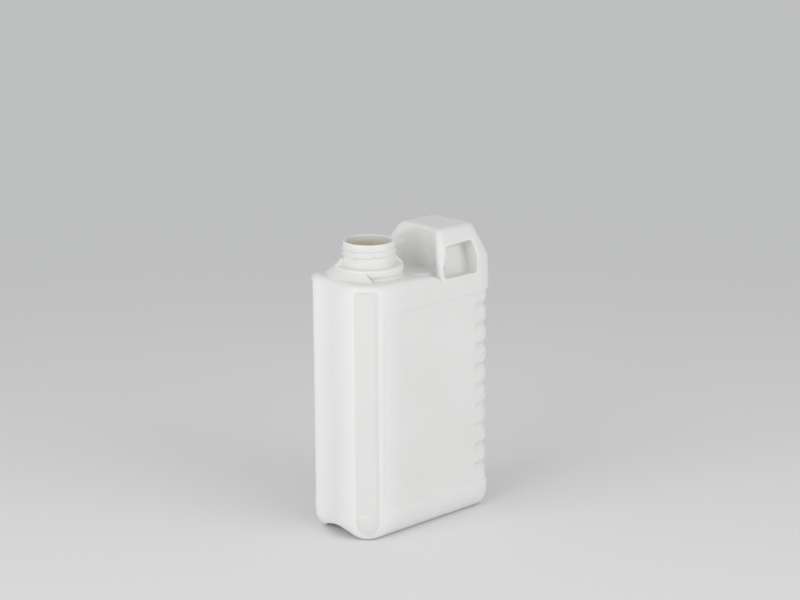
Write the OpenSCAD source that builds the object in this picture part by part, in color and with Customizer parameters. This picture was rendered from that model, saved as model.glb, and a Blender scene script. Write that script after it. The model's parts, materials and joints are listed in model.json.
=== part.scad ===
// Blow-moulded one-litre jerrycan bottle, one piece, neck open.
// Front is -X (the narrow face by the neck), the grip stands over the rear, +Z is up.
// The origin is under the middle of the bottle, on the surface that it stands on.

/* [Body] */
// Length of the body, front to rear
body_l = 120.5; // [114:0.5:150]
// Thickness of the body, side to side
body_t = 62; // [60:0.5:80]
// Height of the shoulder over the front face
shoulder_front_z = 177.5; // [168:0.5:180]
// Height of the shoulder at the foot of the grip
shoulder_rear_z = 173; // [165:0.5:175]
// Thickness of the moulded wall
wall = 1.2; // [0.8:0.1:1.6]
// Radius of the two front upright corners
front_corner_r = 15; // [13:0.5:17]
// Radius of the two rear upright corners
rear_corner_r = 13; // [11:0.5:15]
// How far the rounded edge round the base reaches in
base_edge_r = 8.5; // [5:0.5:9]
// How far up the walls that edge begins
base_edge_h = 14; // [6:0.5:16]
// Radius of the edge round the shoulder
shoulder_edge_r = 5; // [3:0.5:6]
// Rise of the channel along the base, between its two feet
base_rise = 6.6; // [3:0.1:7]
// Width of the channel at the feet
base_channel_w = 39; // [30:1:42]
// Width of the flat roof of the channel
base_channel_roof_w = 6; // [4:1:20]

/* [Front strips and label panels] */
// How far each strip's flat lies in from the sharp corner
strip_inset = 7.5; // [7:0.1:8.4]
// Height of the lower ledge of the strips
strip_low_z = 18.4; // [15:0.1:30]
// Height of the upper ledge of the strips
strip_high_z = 172.6; // [150:0.1:173]
// Depth of the label panels on the two wide faces
panel_depth = 0.5; // [0.2:0.1:0.8]
// Distance of the panel's front edge from the front face
panel_front = 17; // [16:0.5:30]
// Radius of the panel's two front corners
panel_corner_r = 6; // [2:0.5:10]

/* [Rear grip bands] */
// Number of grooves across the rear
groove_count = 9; // [5:1:9]
// Height of the lowest groove
groove_first_z = 31.4; // [29:0.1:33]
// Distance from groove to groove
groove_pitch = 14.35; // [12:0.05:14.6]
// Height of one groove at its mouth
groove_w = 8; // [5:0.1:9]
// Depth of one groove
groove_depth = 1.9; // [1:0.1:2.5]
// How far the whole grooved zone lies in from the rear face
zone_depth = 1.3; // [0.6:0.1:1.6]
// Lower ledge of the grooved zone and of the panels
zone_low_z = 19.3; // [17:0.1:22]
// Upper ledge of the grooved zone and of the panels
zone_high_z = 156; // [154:0.1:160]
// How far the grooves run onto the wide faces past the corner
zone_reach = 4.5; // [2:0.5:5]

/* [Neck] */
// Distance of the neck's axis from the front face
neck_setback = 32; // [30.5:0.1:36]
// Height of the collar's top over the front of the shoulder
collar_lift = 5.8; // [4:0.1:8]
// Height of the rim over the collar's top
neck_h = 15.9; // [14.5:0.1:24]
// Radius of the bore
bore_r = 15.7; // [14:0.1:16]
// Outer radius of the neck under its thread
neck_r = 17; // [16.8:0.1:17.8]
// Outer radius of the thread
thread_r = 18.7; // [18.2:0.1:19.5]
// Rise of the thread in one turn
thread_pitch = 3.95; // [3:0.05:4.2]
// Turns of the thread
thread_turns = 2.6; // [1.5:0.1:2.8]
// Width of the thread at its root
thread_w = 2.5; // [1.5:0.1:2.8]
// Distance of the thread's upper end below the rim
thread_drop = 3.2; // [2.5:0.1:4]
// Outer radius of the collar under the neck
collar_r = 23; // [22.5:0.1:24]
// Height of the collar's outer band
collar_h = 5.2; // [3:0.1:6]
// Radius of the stem under the collar
stem_r = 21.6; // [19:0.1:22]
// Height of the two lock lugs above the collar
lug_h = 3.7; // [2:0.1:5]
// Width of a lock lug along the collar
lug_w = 5; // [3:0.1:8]
// Direction of the first lock lug, from the rear
lug_angle = 152; // [120:1:160]

/* [Skirt in front of the neck] */
// Radius of the skirt's foot
skirt_foot_r = 28.9; // [27:0.1:29.5]
// Drop from the collar's top to the skirt's upper edge
skirt_drop = 1.4; // [0.8:0.1:3]
// Distance of the skirt's flat ends in front of the neck's axis
skirt_end = 17; // [15:0.1:19]

/* [Grip] */
// Height of the grip over the shoulder at its foot
grip_h = 28.8; // [27:0.1:36]
// Distance of the grip's upright front face from the rear face
grip_l = 42.2; // [40:0.1:46]
// Width of the grip's flat top, before its edges are rounded
grip_top_w = 39.5; // [35:0.1:42]
// Lean of the grip's sides, in mm outward for each mm down
side_lean = 0.55; // [0.5:0.01:0.7]
// Distance of the top's rear edge from the rear face
grip_top_setback = 9.8; // [8:0.1:12]
// Lean of the grip's rear face
rear_lean = 0.36; // [0.3:0.01:0.5]
// How far the front wings reach forward of the front face at their foot
wing_reach = 12.7; // [8:0.1:14]
// How far they already reach forward at the top
wing_top_reach = 1.3; // [0.8:0.1:3]
// Lean of the wings' outer edges
wing_lean = 0.56; // [0.4:0.01:0.7]
// Width between the two creases of the front face, at the top
crease_top_w = 12.4; // [6:0.1:22]
// Width between the two creases, at the shoulder
crease_foot_w = 31.3; // [26:0.1:40]
// Radius of the grip's edges
grip_edge_r = 3.2; // [2:0.1:4]
// Radius of the rear corners at the grip's top
grip_top_corner_r = 5.5; // [4:0.1:8]
// Radius of the wings' front corners
grip_front_corner_r = 3.5; // [2:0.1:4.5]

/* [Finger pockets] */
// Width left between the two pockets at their floor
pocket_web_w = 40; // [36:0.5:42]
// Lean of that web's faces, in mm inward for each mm up
pocket_lean = 0.3; // [0.1:0.01:0.35]
// Height of the pockets' mouth at the rear
pocket_h = 19.5; // [14:0.1:20]
// Drop of the mouth's upper edge from its rear to its front
pocket_roof_drop = 1.4; // [0:0.1:3]
// Height of the pockets' floor at the mouth, against the shoulder
pocket_floor_lift = -0.3; // [-2:0.1:2]
// Drop of the floor from the mouth to the web
pocket_inner_drop = 1.4; // [0:0.1:2]
// Drop of the roof from the mouth to the web
pocket_inner_roof_drop = 4; // [0:0.1:5]
// Distance of the pockets' rear wall from the rear face
pocket_rear_setback = 17.4; // [16:0.1:20]
// Lean of the mouth's front edge
pocket_front_lean = 0.42; // [0.1:0.01:0.5]
// Distance from the front wings to the mouth, at the floor
pocket_front_gap = 5.2; // [5:0.1:8]
// Distance from the grip's front face to the pocket's inner end
pocket_inner_gap = 5; // [4:0.1:8]
// Radius of the pockets' corners
pocket_corner_r = 2.2; // [1.6:0.1:3]

/* [Hidden] */

plastic = [0.93, 0.93, 0.91];
corner_steps = 9;          // straight steps round an upright corner
edge_steps = 5;            // straight steps round a base or shoulder edge
corner_few = 4;            // straight steps round a small corner
least_r = 0.2;             // least radius that a corner is left with
groove_steps = 8;          // straight steps down and up one groove
thread_steps = 28;         // stations in one turn of the thread
fine = 96;                 // facets of the turned parts
reach = 40;                // more than any cut has to reach
below = 5;                 // how far the base channel's cutter runs below the feet
channel_bulge = 0.62;      // how full the channel's section is half way up its sides
bury = 0.3;                // how deep the lugs and the thread are sunk into the neck
past = 0.35;               // how much further than its mouth a pocket's cutter runs
flush = 0.1;               // the grip stands this much inside the body's faces
grip_root = 8;             // how far the grip's solid runs down into the body
skirt_foot_drop = 0.4;     // how far the skirt's foot lies under the shoulder
soft = 0.6;                // broken edges and fillets of the collar
rim_soft = 0.3;            // step of the rim's rounded outer edge
stem_foot = 3.4;           // how far the fillet under the stem reaches out
bore_run = 6;              // how far the bore's cutter runs past the rim and under the shoulder
bore_foot = 1;             // how far under the collar's top the straight bore begins
lug_root = 2;              // how far a lug's solid runs down into the collar
lug_top = 1.6;             // width of a lug's flat top
thread_start = 180;        // direction in which the thread begins, from the rear
thread_fade = 5;           // one over the share of the thread in which it swells
thread_least = 0.12;       // share of its height that the thread has at its ends

front_x = -body_l / 2;
rear_x = body_l / 2;
side_y = body_t / 2;
neck_x = front_x + neck_setback;
grip_x = rear_x - grip_l;
grip_z = shoulder_rear_z + grip_h;
collar_z = shoulder_front_z + collar_lift;
rim_z = collar_z + neck_h;
fall = (shoulder_front_z - shoulder_rear_z) / (grip_x - front_x);

// Height of the sloping shoulder at x, for a skin that lies inset under the outer one
function shoulder_z(x, inset) = shoulder_front_z - fall * (x - front_x) - inset;

// A polygon with its straight sides moved inward, for corners listed anticlockwise
function unit(v) = v / norm(v);
function inward(a, b) = let (d = unit(b - a)) [-d.y, d.x];
function moved_corner(before, at, after, inset) =
    let (n1 = inward(before, at), n2 = inward(at, after))
    at + inset * (n1 + n2) / (1 + n1 * n2);
function moved(p, inset) = let (n = len(p))
    [for (i = [0:n - 1]) moved_corner(p[(i + n - 1) % n], p[i], p[(i + 1) % n], inset)];

// A polygon with its corners rounded: convex ones lose the inset from their radius, hollow ones gain it
function turn(before, at, after) =
    let (u = unit(at - before), v = unit(after - at)) atan2(u.x * v.y - u.y * v.x, u * v);
function arc_corner(before, at, after, r, steps) =
    let (bend = turn(before, at, after),
         u = unit(at - before),
         tangent = r * abs(tan(bend / 2)),
         side = bend > 0 ? 1 : -1,
         start = at - tangent * u,
         centre = start + side * r * [-u.y, u.x],
         from = start - centre)
    [for (i = [0:steps]) let (a = bend * i / steps)
        centre + [from.x * cos(a) - from.y * sin(a), from.x * sin(a) + from.y * cos(a)]];
function rounded(p, radii, inset, steps) =
    let (q = moved(p, inset), n = len(p))
    [for (i = [0:n - 1])
        let (before = q[(i + n - 1) % n], at = q[i], after = q[(i + 1) % n],
             r = radii[i] - (turn(before, at, after) > 0 ? inset : -inset))
        each arc_corner(before, at, after, max(r, least_r), steps)];

// A closed solid through rings of points that all have the same count, each anticlockwise
// when seen from the last ring's side
module loft(rings) {
    n = len(rings[0]);
    last = len(rings) - 1;
    polyhedron(
        points = [for (ring = rings) each ring],
        faces = concat(
            [[for (i = [0:n - 1]) i]],
            [[for (i = [n - 1:-1:0]) last * n + i]],
            [for (k = [0:last - 1], i = [0:n - 1]) let (j = (i + 1) % n)
                each [[k * n + i, (k + 1) * n + j, k * n + j], [k * n + i, (k + 1) * n + i, (k + 1) * n + j]]]),
        convexity = 8);
}

// The body's outline seen from above
body_corners = [[front_x, -side_y], [rear_x, -side_y], [rear_x, side_y], [front_x, side_y]];
body_radii = [front_corner_r, rear_corner_r, rear_corner_r, front_corner_r];
function body_outline(inset) = rounded(body_corners, body_radii, inset, corner_steps);

// The plain body: rounded base edge, upright walls, rounded edge round the sloping shoulder
module body_form(inset) {
    loft(concat(
        [for (i = [0:edge_steps])
            let (a = 90 * i / edge_steps, r = base_edge_r - inset, h = base_edge_h - inset)
            [for (p = body_outline(inset + r * (1 - sin(a)))) [p.x, p.y, inset + h * (1 - cos(a))]]],
        [for (i = [0:edge_steps]) let (a = 90 * i / edge_steps, r = shoulder_edge_r - inset)
            [for (p = body_outline(inset + r * (1 - cos(a))))
                [p.x, p.y, shoulder_z(p.x, inset) - r * (1 - sin(a))]]]));
}

// The channel along the base, cut between the two feet
module base_channel(inset) {
    half_w = base_channel_w / 2 + inset;
    half_roof = (base_channel_roof_w + inset) / 2;
    rise = base_rise + inset;
    half = [[half_w + below, -below], [half_w, 0],
        [(half_w + half_roof) / 2, channel_bulge * rise], [half_roof, rise]];
    translate([-body_l, 0, 0])
        rotate([90, 0, 90])
            linear_extrude(2 * body_l)
                polygon(concat([for (p = half) [-p.x, p.y]], [for (i = [3:-1:0]) half[i]]));
}

// The two flat strips down the front corners
module strip_cut(inset) {
    depth = strip_inset + inset;
    for (side = [-1, 1])
        translate([front_x, side * side_y, strip_low_z - inset])
            rotate([0, 0, side * -45])
                translate([-reach, -reach / 2, 0])
                    cube([reach + depth, reach, strip_high_z - strip_low_z + 2 * inset]);
}

// The shallow label panels on the wide faces, which run back into the grooved zone
module panel_cut(inset) {
    low = [front_x + panel_front - inset, zone_low_z - inset];
    high = [zone_x(), zone_high_z + inset];
    radii = [panel_corner_r, least_r, least_r, panel_corner_r];
    for (side = [-1, 1])
        translate([0, side * (side_y - panel_depth - inset) + (side < 0 ? 0 : reach), 0])
            rotate([90, 0, 0])
                linear_extrude(reach)
                    polygon(rounded([low, [high.x, low.y], high, [low.x, high.y]], radii, 0, corner_few));
}

// The grooved zone's outline is the body's, moved in: its corners turn about zone_x and zone_y
function zone_x() = rear_x - zone_depth - rear_corner_r;
function zone_y() = side_y - panel_depth - rear_corner_r;

// The cutter's section: how far it reaches in at each height, with its face on the zone's outline
function groove_points(z, inset) =
    [for (i = [0:groove_steps]) let (s = 2 * i / groove_steps - 1)
        [-inset - groove_depth * (1 + cos(180 * s)) / 2, z + s * (groove_w + inset) / 2]];
function zone_section(inset) = concat(
    [[rear_corner_r / 2, zone_low_z - inset - rear_corner_r / 2], [-inset, zone_low_z - inset]],
    [for (k = [0:groove_count - 1]) each groove_points(groove_first_z + k * groove_pitch, inset)],
    [[-inset, zone_high_z + inset], [rear_corner_r / 2, zone_high_z + inset + rear_corner_r / 2]]);

// The cutter for the grooved zone: straight across the rear, round both corners, onto the wide faces
module zone_cut(inset) {
    translate([rear_x - zone_depth, zone_y(), 0])
        rotate([90, 0, 0])
            linear_extrude(2 * zone_y())
                polygon(zone_section(inset));
    for (side = [-1, 1]) {
        translate([zone_x(), side * zone_y(), 0])
            rotate([0, 0, side < 0 ? -90 : 0])
                rotate_extrude(angle = 90, $fn = fine)
                    translate([rear_corner_r, 0])
                        polygon(zone_section(inset));
        translate([zone_x() - zone_reach - inset, side * (zone_y() + rear_corner_r), 0])
            rotate([90, 0, 90])
                linear_extrude(zone_reach + inset)
                    mirror([side < 0 ? 1 : 0, 0])
                        polygon(zone_section(inset));
    }
}

// The grip's outline at one height: upright front face, flared wings, leaning sides and rear
function grip_side(z) = min(side_y - flush, grip_top_w / 2 + side_lean * (grip_z - z));
function grip_rear(z) = min(rear_x - flush, rear_x - grip_top_setback + rear_lean * (grip_z - z));
function wing_x(z) = max(grip_x - wing_reach, grip_x - wing_top_reach - wing_lean * (grip_z - z));
function crease_y(z) =
    (crease_top_w + (crease_foot_w - crease_top_w) * (grip_z - z) / (grip_z - shoulder_rear_z)) / 2;
function grip_corners(z) = [
    [grip_x, -crease_y(z)], [wing_x(z), -grip_side(z)], [grip_rear(z), -grip_side(z)],
    [grip_rear(z), grip_side(z)], [wing_x(z), grip_side(z)], [grip_x, crease_y(z)]];
function grip_rear_r(z) = let (s = min(1, (grip_z - z) / (grip_z - shoulder_rear_z)))
    grip_top_corner_r + s * (rear_corner_r - grip_top_corner_r);
function grip_ring(z, inset) =
    let (r = grip_front_corner_r, rear_r = grip_rear_r(z))
    [for (p = rounded(grip_corners(z), [r, r, rear_r, rear_r, r, r], inset, corner_few)) [p.x, p.y, z]];

module grip_form(inset) {
    side_break = grip_z - (side_y - flush - grip_top_w / 2) / side_lean;
    rear_break = grip_z - (grip_top_setback - flush) / rear_lean;
    low = min(rear_break, side_break);
    high = max(rear_break, side_break);
    levels = [shoulder_rear_z - grip_root, low, high, (high + grip_z - grip_edge_r) / 2];
    loft(concat(
        [for (z = levels) grip_ring(z, inset)],
        [for (i = [0:edge_steps]) let (a = 90 * i / edge_steps, r = grip_edge_r - inset)
            grip_ring(grip_z - grip_edge_r + r * sin(a), inset + r * (1 - cos(a)))]));
}

// The finger pockets: a wide mouth in the side, which narrows inward behind the wing. Both its
// mouth and its inner end lean, so y follows the height
module pocket_cut(inset) {
    rear = rear_x - pocket_rear_setback;
    floor_z = shoulder_rear_z + pocket_floor_lift;
    roof = [floor_z + pocket_h - pocket_roof_drop, floor_z + pocket_h];
    front = grip_x - wing_reach + pocket_front_gap;
    front_top = front + pocket_front_lean * (roof[0] - floor_z);
    inner = grip_x + pocket_inner_gap;
    down = pocket_inner_drop;
    roof_down = pocket_inner_roof_drop;
    mouth = [[front, floor_z], [rear, floor_z], [rear, roof[1]], [front_top, roof[0]]];
    back = [[inner, floor_z - down], [rear, floor_z - down], [rear, roof[1] - roof_down],
        [inner, roof[0] - roof_down]];
    far = [for (i = [0:3]) back[i] + (1 + past) * (mouth[i] - back[i])];
    depth = side_y - pocket_web_w / 2;
    near = [for (i = [0:3]) back[i] - inset / depth * (mouth[i] - back[i])];
    function ring(side, p, y) =
        [for (q = rounded(p, [for (i = [0:3]) pocket_corner_r], -inset, corner_few))
            [q.x, side * (y - pocket_lean * (q.y - floor_z)), q.y]];
    for (side = [-1, 1]) {
        inner_ring = ring(side, near, pocket_web_w / 2 - inset);
        outer_ring = ring(side, far, side_y + past * depth);
        loft(side < 0 ? [inner_ring, outer_ring] : [outer_ring, inner_ring]);
    }
}

// The skirt that falls from the collar to the front of the shoulder, with a flat end on each side
module skirt_form(inset) {
    top_z = collar_z - skirt_drop;
    foot_z = shoulder_front_z - skirt_foot_drop;
    slant = norm([skirt_foot_r - collar_r, top_z - foot_z]) / (skirt_foot_r - collar_r);
    drop = inset * slant;
    intersection() {
        translate([neck_x, 0, 0])
            rotate_extrude($fn = fine)
                polygon([[0, foot_z - shoulder_edge_r], [skirt_foot_r - inset, foot_z - shoulder_edge_r],
                    [skirt_foot_r - inset, foot_z - drop], [collar_r - inset, top_z - drop],
                    [0, top_z - drop]]);
        translate([neck_x - skirt_end - inset - reach, -reach, 0])
            cube([reach, 2 * reach, collar_z]);
    }
}

// The turned outer form of the neck: fillet, stem, collar, plain neck and rim
module neck_form() {
    base_z = shoulder_z(neck_x, 0);
    band_z = collar_z - collar_h;
    translate([neck_x, 0, 0])
        rotate_extrude($fn = fine)
            polygon([[0, base_z - wall], [stem_r + stem_foot, base_z - wall],
                [stem_r + stem_foot, base_z - soft], [stem_r + stem_foot / 3, base_z + soft / 2],
                [stem_r, band_z - soft],
                [collar_r - soft, band_z], [collar_r, band_z + soft],
                [collar_r, collar_z - soft], [collar_r - soft, collar_z],
                [neck_r + soft, collar_z], [neck_r, collar_z + soft],
                [neck_r, rim_z - 3 * rim_soft], [neck_r - rim_soft, rim_z - rim_soft],
                [neck_r - 2.5 * rim_soft, rim_z], [0, rim_z]]);
}

// The way into the bottle: a straight bore that widens under the collar
module neck_bore() {
    cavity_z = shoulder_z(neck_x, wall);
    translate([neck_x, 0, 0])
        rotate_extrude($fn = fine)
            polygon([[0, cavity_z - bore_run], [stem_r - wall, cavity_z - bore_run],
                [stem_r - wall, cavity_z], [bore_r, collar_z - bore_foot],
                [bore_r, rim_z + bore_run], [0, rim_z + bore_run]]);
}

// The two lock lugs that stand on the collar, opposite each other
module lugs() {
    for (turned = [0, 180])
        translate([neck_x, 0, 0])
            rotate([0, 0, lug_angle + turned])
                translate([0, lug_w / 2, 0])
                    rotate([90, 0, 0])
                        linear_extrude(lug_w)
                            polygon([[neck_r - bury, collar_z - lug_root],
                                [collar_r - bury, collar_z - lug_root], [collar_r - bury, collar_z + bury],
                                [neck_r + lug_top, collar_z + lug_h], [neck_r - bury, collar_z + lug_h]]);
}

// The right-hand thread, which swells from the neck and dies back into it at both ends
module thread() {
    count = round(thread_turns * thread_steps);
    start_z = rim_z - thread_drop - thread_turns * thread_pitch;
    root = neck_r - bury;
    half_w = thread_w / 2;
    function swell(s) = min(1, thread_fade * s, thread_fade * (1 - s));
    function station(i) =
        let (s = i / count,
             a = 360 * i / thread_steps + thread_start,
             z = start_z + thread_turns * thread_pitch * s,
             crest = root + (thread_r - root) * (thread_least + (1 - thread_least) * swell(s)))
        [for (q = [[root, half_w], [crest, half_w / 4], [crest, -half_w / 4], [root, -half_w]])
            [q[0] * cos(a), q[0] * sin(a), z + q[1]]];
    translate([neck_x, 0, 0])
        loft([for (i = [0:count]) station(i)]);
}

// One skin of the bottle: the outer face with no inset, the cavity with the wall as inset
module skin(inset) {
    difference() {
        union() {
            body_form(inset);
            grip_form(inset);
            skirt_form(inset);
        }
        base_channel(inset);
        strip_cut(inset);
        panel_cut(inset);
        zone_cut(inset);
        pocket_cut(inset);
    }
}

module jerrycan() {
    color(plastic)
        difference() {
            union() {
                skin(0);
                neck_form();
                lugs();
                thread();
            }
            skin(wall);
            neck_bore();
        }
}

jerrycan();
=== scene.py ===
"""A blow-moulded jerrycan bottle in natural-white polyethylene, with an open threaded neck."""

import json
import math

import bpy
import numpy as np
from mathutils import Matrix, Vector


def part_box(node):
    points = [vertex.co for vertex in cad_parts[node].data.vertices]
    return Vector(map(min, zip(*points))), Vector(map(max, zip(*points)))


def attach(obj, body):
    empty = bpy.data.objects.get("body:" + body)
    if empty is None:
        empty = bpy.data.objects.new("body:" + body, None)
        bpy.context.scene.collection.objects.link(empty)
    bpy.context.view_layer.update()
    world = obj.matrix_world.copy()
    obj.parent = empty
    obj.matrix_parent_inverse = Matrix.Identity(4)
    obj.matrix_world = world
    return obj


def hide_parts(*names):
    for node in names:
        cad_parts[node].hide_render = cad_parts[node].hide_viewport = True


MM = 0.001

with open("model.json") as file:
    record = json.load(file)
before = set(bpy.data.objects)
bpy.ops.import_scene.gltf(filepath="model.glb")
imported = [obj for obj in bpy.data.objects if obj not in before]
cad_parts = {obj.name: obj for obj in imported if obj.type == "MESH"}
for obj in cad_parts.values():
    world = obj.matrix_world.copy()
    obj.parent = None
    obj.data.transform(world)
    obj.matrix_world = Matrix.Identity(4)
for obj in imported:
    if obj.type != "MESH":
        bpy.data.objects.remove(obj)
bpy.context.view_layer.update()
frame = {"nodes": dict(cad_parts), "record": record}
bottle_low, bottle_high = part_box("jerrycan")
mounts = {m["name"]: m for m in frame["record"]["mounts"]}

# Places on the bottle, in millimetres
NECK_H = 15.9
GRIP_H = 28.8
NECK_X = mounts["mouth"]["pos_m"][0] / MM
RIM_Z = mounts["neck_thread"]["pos_m"][2] / MM
BORE_R = mounts["mouth"]["dims"]["r_mm"]
COLLAR_Z = RIM_Z - NECK_H
FRONT_X, REAR_X = bottle_low.x / MM, bottle_high.x / MM
SIDE_Y = bottle_high.y / MM
BOTTLE_H = bottle_high.z / MM
SHOULDER_Z = BOTTLE_H - GRIP_H

# Shaping of the skin, in millimetres
VOXEL = 0.42
MOST_TRIANGLES = 150000
SOFT_ROUNDS = 6
SOFT_PULL = 0.5
NECK_PULL = 0.25
NECK_R = 17.0
THREAD_H = 1.7
CREST_POWER = 1.9
THREAD_LIFT = 0.95
LIP_DROP = 2.3
WING_FOOT_X = 7.9
WING_NORMAL = (0.66, -0.75)
NUB_SETBACK = 10.9
NUB_H = 0.55
NUB_R = 1.3

# Tones of the polyethylene, and of its painted highlight and painted shade
CLOUD_TONES = ((0.765, 0.765, 0.75, 1), (0.79, 0.79, 0.78, 1))
STREAK_TONE = (0.775, 0.77, 0.76, 1)
# Painted highlight on the rounded front corners
CORNER_HIGHLIGHT_TONE = (0.85, 0.85, 0.84, 1)
# Painted shade on the flat corner strips
STRIP_SHADE_TONE = (0.735, 0.73, 0.715, 1)
# Painted warm shade deep inside the neck
MOUTH_SHADE_TONE = (0.70, 0.645, 0.48, 1)

# The floor's tones, and the pale grey that it turns away from the bottle
FLOOR_TONES = ((0.80, 0.805, 0.81, 1), (0.82, 0.82, 0.825, 1))
BACKDROP_TONE = (0.52, 0.525, 0.53, 1)
FLOOR_HALF = 8.0

# Room light, and each lamp's azimuth, elevation, distance, width, height and watts
ROOM_LEVEL = 0.68
LAMPS = {
    "lamp_left": (184.0, 22.0, 1.2, 0.9, 1.1, 6.0),
    "lamp_right": (278.0, 18.0, 1.2, 0.9, 1.1, 5.2),
    "lamp_top": (215.0, 70.0, 1.5, 1.0, 1.0, 0.4),
}


# Node maths


class Wire:
    """One output socket of a material, with the sums that the materials below use."""

    def __init__(self, paint, socket):
        self.paint = paint
        self.socket = socket

    def _math(self, operation, *values):
        return self.paint.node("ShaderNodeMath", {"operation": operation}, dict(enumerate(values)))

    def __add__(self, other):
        return self._math("ADD", self, other)

    def __sub__(self, other):
        return self._math("SUBTRACT", self, other)

    def __rsub__(self, other):
        return self._math("SUBTRACT", other, self)

    def __mul__(self, other):
        return self._math("MULTIPLY", self, other)

    __radd__ = __add__
    __rmul__ = __mul__

    def ramp(self, low, high):
        """0 below low, 1 above high, smooth between."""
        return self.paint.node(
            "ShaderNodeMapRange",
            {"interpolation_type": "SMOOTHSTEP"},
            {"Value": self, "From Min": low, "From Max": high},
        )


class Paint:
    """A material whose nodes are made from Python calls."""

    def __init__(self, name):
        self.material = bpy.data.materials.new(name)
        self.material.use_nodes = True
        self.tree = self.material.node_tree
        self.tree.nodes.clear()

    def node(self, kind, settings=None, sockets=None, output=0):
        made = self.tree.nodes.new(kind)
        for name, value in (settings or {}).items():
            setattr(made, name, value)
        for name, value in (sockets or {}).items():
            if isinstance(value, Wire):
                self.tree.links.new(value.socket, made.inputs[name])
            else:
                made.inputs[name].default_value = value
        return Wire(self, made.outputs[output]) if made.outputs else None

    def place(self):
        """The point on the surface, in metres in the row frame."""
        return self.node("ShaderNodeTexCoord", output="Object")

    def noise(self, where, scale, detail=2.0, roughness=0.5):
        sockets = {"Vector": where, "Scale": scale, "Detail": detail, "Roughness": roughness}
        return self.node("ShaderNodeTexNoise", {"noise_dimensions": "3D"}, sockets)

    def mix(self, share, first, second):
        """A colour between two, by share."""
        made = self.tree.nodes.new("ShaderNodeMix")
        made.data_type = "RGBA"
        colours = [s for s in made.inputs if s.type == "RGBA"]
        for socket, value in zip([made.inputs[0]] + colours, (share, first, second)):
            if isinstance(value, Wire):
                self.tree.links.new(value.socket, socket)
            else:
                socket.default_value = value
        return Wire(self, next(s for s in made.outputs if s.type == "RGBA"))

    def finish(self, shader):
        self.node("ShaderNodeOutputMaterial", sockets={"Surface": shader})
        return self.material


def white_polyethylene():
    """Natural-white polyethylene: satin, faintly cloudy and streaked, with a painted highlight towards the
    front corners, painted shade on their flat strips and a warmer, darker painted shade inside the neck.
    """
    paint = Paint("white_polyethylene")
    where = paint.place()
    axes = paint.node("ShaderNodeSeparateXYZ", sockets={"Vector": where})
    x, y, z = (Wire(paint, axes.socket.node.outputs[name]) for name in "XYZ")
    side = paint.node("ShaderNodeMath", {"operation": "ABSOLUTE"}, {0: y})

    cloud = paint.noise(where, 26.0, 3.0)
    streak_place = paint.node(
        "ShaderNodeMapping", {"vector_type": "POINT"}, {"Vector": where, "Scale": (90.0, 90.0, 5.0)}
    )
    streak = paint.noise(streak_place, 1.0, 3.0)
    cloudy = paint.mix(cloud.ramp(0.3, 0.7), *CLOUD_TONES)
    streaky = paint.mix(streak.ramp(0.35, 0.7) * 0.3, cloudy, STREAK_TONE)

    # Painted highlight: the skin is painted lighter towards the two front corners, and painted shade darkens
    # their flat strips.
    lean = 0.9
    to_corner = side - x * lean
    outermost = SIDE_Y - lean * FRONT_X
    corner_highlight = to_corner.ramp((outermost - 34.0) * MM, (outermost - 12.0) * MM)
    below_shoulder = 1 - z.ramp((SHOULDER_Z - 2.0) * MM, (SHOULDER_Z + 4.0) * MM)
    strip_shade = to_corner.ramp((outermost - 11.6) * MM, (outermost - 11.0) * MM)
    with_corner_highlight = paint.mix(corner_highlight * below_shoulder, streaky, CORNER_HIGHLIGHT_TONE)
    body = paint.mix(strip_shade * below_shoulder * 0.9, with_corner_highlight, STRIP_SHADE_TONE)

    dx = x - NECK_X * MM
    from_axis = dx * dx + y * y
    bore = (BORE_R * MM) ** 2
    # Painted warm shade inside the bore, fading out towards the rim.
    inside = 1 - from_axis.ramp(bore * 1.01, bore * 1.04)
    under_rim = 1 - z.ramp((RIM_Z - 8.0) * MM, RIM_Z * MM)
    mouth_shade = inside * z.ramp((RIM_Z - 30.0) * MM, (RIM_Z - 22.0) * MM) * under_rim
    colour = paint.mix(mouth_shade * 0.9, body, MOUTH_SHADE_TONE)

    grain = paint.noise(where, 1800.0, 2.0)
    ripple = paint.noise(where, 75.0, 2.0)
    parting_line = 1 - side.ramp(0.00005, 0.00030)
    roughness = 0.36 + (cloud - 0.5) * 0.10 + (grain - 0.5) * 0.06
    height = grain * 0.000010 + ripple * 0.00010 + streak * 0.00002 + parting_line * 0.00005
    normal = paint.node("ShaderNodeBump", sockets={"Strength": 0.6, "Distance": 1.0, "Height": height})
    shader = paint.node(
        "ShaderNodeBsdfPrincipled",
        {"subsurface_method": "RANDOM_WALK"},
        {
            "Base Color": colour,
            "Roughness": roughness,
            "Normal": normal,
            "IOR": 1.50,
            "Subsurface Weight": 0.25,
            "Subsurface Radius": (0.9, 0.85, 0.75),
            "Subsurface Scale": 0.0022,
            "Specular IOR Level": 0.45,
        },
    )
    return paint.finish(shader)


def pale_floor():
    """A matt pale floor that turns an even pale grey, for the camera and for gloss, away from the bottle."""
    paint = Paint("pale_floor")
    where = paint.place()
    tone = paint.noise(where, 3.0, 2.0)
    colour = paint.mix(tone, *FLOOR_TONES)
    matt = paint.node("ShaderNodeBsdfPrincipled", sockets={"Base Color": colour, "Roughness": 0.75})
    even = paint.node("ShaderNodeEmission", sockets={"Color": BACKDROP_TONE})
    rays = paint.node("ShaderNodeLightPath").socket.node.outputs
    seen = Wire(paint, rays["Is Camera Ray"]) + Wire(paint, rays["Is Glossy Ray"])
    away = paint.node("ShaderNodeVectorMath", {"operation": "LENGTH"}, {0: where}, output="Value")
    share = away.ramp(0.15, 1.3) * (seen + Wire(paint, rays["Is Transmission Ray"]))
    shader = paint.node("ShaderNodeMixShader", sockets={0: share, 1: matt, 2: even})
    return paint.finish(shader)


# The moulded skin


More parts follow.
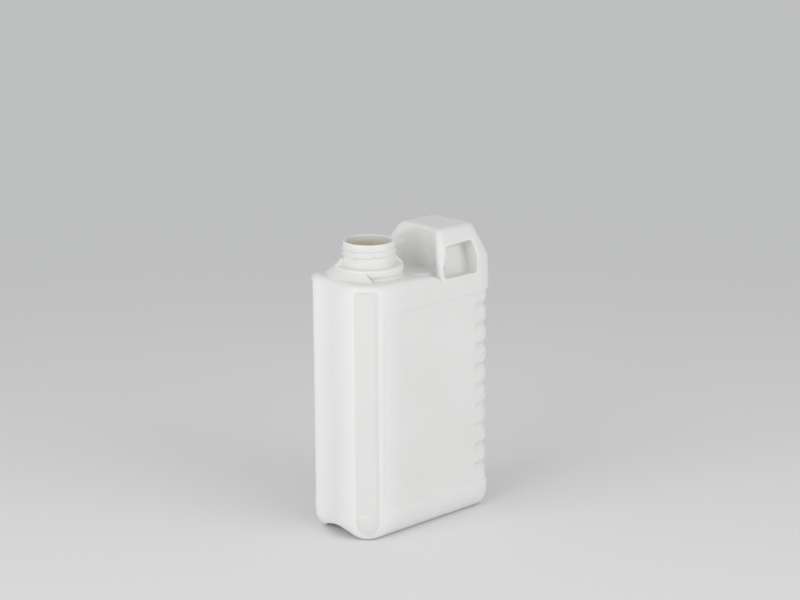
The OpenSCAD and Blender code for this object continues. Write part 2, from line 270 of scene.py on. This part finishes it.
def mesh_arrays(mesh):
    """A mesh's points and edges as arrays."""
    points = np.empty(len(mesh.vertices) * 3)
    mesh.vertices.foreach_get("co", points)
    edges = np.empty(len(mesh.edges) * 2, np.int64)
    mesh.edges.foreach_get("vertices", edges)
    return points.reshape(-1, 3), edges.reshape(-1, 2)


def relaxed(points, edges, pull, rounds):
    """Points drawn towards the mean of their neighbours, each by its own share in every round."""
    a, b = edges.T
    count = len(points)
    degree = np.bincount(a, minlength=count) + np.bincount(b, minlength=count)
    for _ in range(rounds):
        mean = np.empty_like(points)
        for axis in range(3):
            along = points[:, axis]
            mean[:, axis] = np.bincount(a, along[b], count) + np.bincount(b, along[a], count)
        mean /= np.maximum(degree, 1)[:, None]
        points = points + pull[:, None] * (mean - points)
    return points


def with_modifier(source, name, kind, **settings):
    """The mesh that one modifier makes of an object's mesh, as a new object."""
    modifier = source.modifiers.new(kind.lower(), kind)
    for key, value in settings.items():
        setattr(modifier, key, value)
    depsgraph = bpy.context.evaluated_depsgraph_get()
    mesh = bpy.data.meshes.new_from_object(source.evaluated_get(depsgraph))
    made = bpy.data.objects.new(name, mesh)
    bpy.context.scene.collection.objects.link(made)
    return made


def drop(obj):
    mesh = obj.data
    bpy.data.objects.remove(obj)
    bpy.data.meshes.remove(mesh)


def step(values, low, high):
    """0 below low, 1 above high, smooth between, for an array."""
    t = np.clip((values - low) / (high - low), 0.0, 1.0)
    return t * t * (3.0 - 2.0 * t)


def hump(values, low, top, end, foot):
    """0 below low, 1 from top to end, 0 above foot."""
    return step(values, low, top) * (1.0 - step(values, end, foot))


def reshaped(points):
    """The model's points in millimetres, with the small differences that the blown bottle shows."""
    x, y, z = points.T.copy()
    side = np.abs(y)
    from_axis = np.hypot(x - NECK_X, y)

    # The thread sits a little higher on the neck.
    on_neck = (1.0 - step(from_axis, 19.0, 20.0)) * step(from_axis, 16.0, 16.4)
    z = z + THREAD_LIFT * on_neck * hump(z, COLLAR_Z + 1.5, COLLAR_Z + 3.0, RIM_Z - 3.4, RIM_Z - 0.8)

    # The thread's ridges are narrow at the crest, with wide troughs between them.
    ridge = np.clip((from_axis - NECK_R) / THREAD_H, 0.0, 1.0)
    inward = THREAD_H * (ridge**CREST_POWER - ridge) * on_neck * step(z, COLLAR_Z + 1.5, COLLAR_Z + 2.5)
    shrink = 1.0 + inward / np.maximum(from_axis, 1.0)
    x, y = NECK_X + (x - NECK_X) * shrink, y * shrink

    # The outer lip of each finger pocket lies a little lower than the pocket's floor further in.
    past_wing = (x - WING_FOOT_X) * WING_NORMAL[0] + (side - SIDE_Y) * WING_NORMAL[1]
    across = step(side, 17.0, 20.5) * (1.0 - step(x, REAR_X - 16.0, REAR_X - 13.5)) * step(past_wing, 0.0, 1.6)
    z = z - LIP_DROP * across * hump(z, SHOULDER_Z - 9.0, SHOULDER_Z - 3.0, SHOULDER_Z + 1.0, SHOULDER_Z + 8.0)

    # A nub of flash where the parting line crosses the rear edge of the grip's top.
    from_nub = np.sqrt((x - (REAR_X - NUB_SETBACK)) ** 2 + (1.4 * y) ** 2 + (z - BOTTLE_H) ** 2)
    z = np.minimum(z + NUB_H * np.exp(-((from_nub / NUB_R) ** 2)), BOTTLE_H)
    return np.stack([x, y, z], 1)


def moulded_bottle(node):
    """The bottle's skin as it leaves a blow mould: the model's own shape with its edges drawn soft."""
    copy = bpy.data.objects.new("bottle_blank", node.data.copy())
    bpy.context.scene.collection.objects.link(copy)
    dense = with_modifier(copy, "bottle_dense", "REMESH", mode="VOXEL", voxel_size=VOXEL * MM, adaptivity=0.0)
    drop(copy)
    points, edges = mesh_arrays(dense.data)
    points = reshaped(points / MM)
    from_axis = np.hypot(points[:, 0] - NECK_X, points[:, 1])
    crisp = (from_axis < 24.5) & (points[:, 2] > COLLAR_Z - 6.0)
    points = relaxed(points, edges, np.where(crisp, NECK_PULL, SOFT_PULL), SOFT_ROUNDS)
    dense.data.vertices.foreach_set("co", (points * MM).ravel())
    dense.data.update()
    share = MOST_TRIANGLES / (2 * len(dense.data.polygons))
    bottle = with_modifier(dense, "bottle", "DECIMATE", decimate_type="COLLAPSE", ratio=share)
    drop(dense)
    bottle.data.polygons.foreach_set("use_smooth", [True] * len(bottle.data.polygons))
    return bottle


bottle = moulded_bottle(frame["nodes"]["jerrycan"])
bottle.data.materials.clear()
bottle.data.materials.append(white_polyethylene())
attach(bottle, "root")
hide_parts("jerrycan")


# Floor, light and camera


def floor_sheet(half):
    corners = [(-half, -half, 0), (half, -half, 0), (half, half, 0), (-half, half, 0)]
    mesh = bpy.data.meshes.new("floor")
    mesh.from_pydata(corners, [], [(0, 1, 2, 3)])
    floor = bpy.data.objects.new("floor", mesh)
    bpy.context.scene.collection.objects.link(floor)
    mesh.materials.append(pale_floor())


def soft_box(name, azimuth, elevation, distance, width, height, watts):
    """A rectangular lamp that faces the bottle's middle."""
    lamp = bpy.data.lights.new(name, "AREA")
    lamp.shape = "RECTANGLE"
    lamp.size, lamp.size_y, lamp.energy = width, height, watts
    around, up = math.radians(azimuth), math.radians(elevation)
    aim = Vector((0, 0, 0.5 * bottle_high.z))
    away = Vector((math.cos(around) * math.cos(up), math.sin(around) * math.cos(up), math.sin(up)))
    holder = bpy.data.objects.new(name, lamp)
    holder.location = aim + distance * away
    holder.rotation_euler = away.to_track_quat("Z", "Y").to_euler()
    bpy.context.scene.collection.objects.link(holder)


def studio_world(level):
    """Pale room light, with a near-white backdrop for the camera."""
    world = bpy.data.worlds.new("studio")
    world.use_nodes = True
    bpy.context.scene.world = world
    tree = world.node_tree
    tree.nodes.clear()
    path = tree.nodes.new("ShaderNodeLightPath")
    strength = tree.nodes.new("ShaderNodeMapRange")
    strength.inputs["To Min"].default_value = level
    strength.inputs["To Max"].default_value = 0.93
    tree.links.new(path.outputs["Is Camera Ray"], strength.inputs["Value"])
    background = tree.nodes.new("ShaderNodeBackground")
    tree.links.new(strength.outputs[0], background.inputs["Strength"])
    output = tree.nodes.new("ShaderNodeOutputWorld")
    tree.links.new(background.outputs[0], output.inputs["Surface"])


def photo_camera():
    """The camera, at the photograph's viewing angle."""
    lens = bpy.data.cameras.new("camera")
    lens.sensor_width = 36.0
    lens.lens = 90.05
    lens.clip_start, lens.clip_end = 0.05, 60.0
    camera = bpy.data.objects.new("camera", lens)
    place = Vector((-0.88215558, -0.95906303, 0.50331031))
    right = Vector((0.73543859, -0.67757985, -0.00395224))
    up = Vector((0.17884832, 0.18848769, 0.96565298))
    back = right.cross(up)
    camera.matrix_world = Matrix.Translation(place) @ Matrix((right, up, back)).transposed().to_4x4()
    bpy.context.scene.collection.objects.link(camera)
    bpy.context.scene.camera = camera


floor_sheet(FLOOR_HALF)
studio_world(ROOM_LEVEL)
for lamp_name, placing in LAMPS.items():
    soft_box(lamp_name, *placing)
photo_camera()
bpy.context.scene.view_settings.view_transform = "Standard"
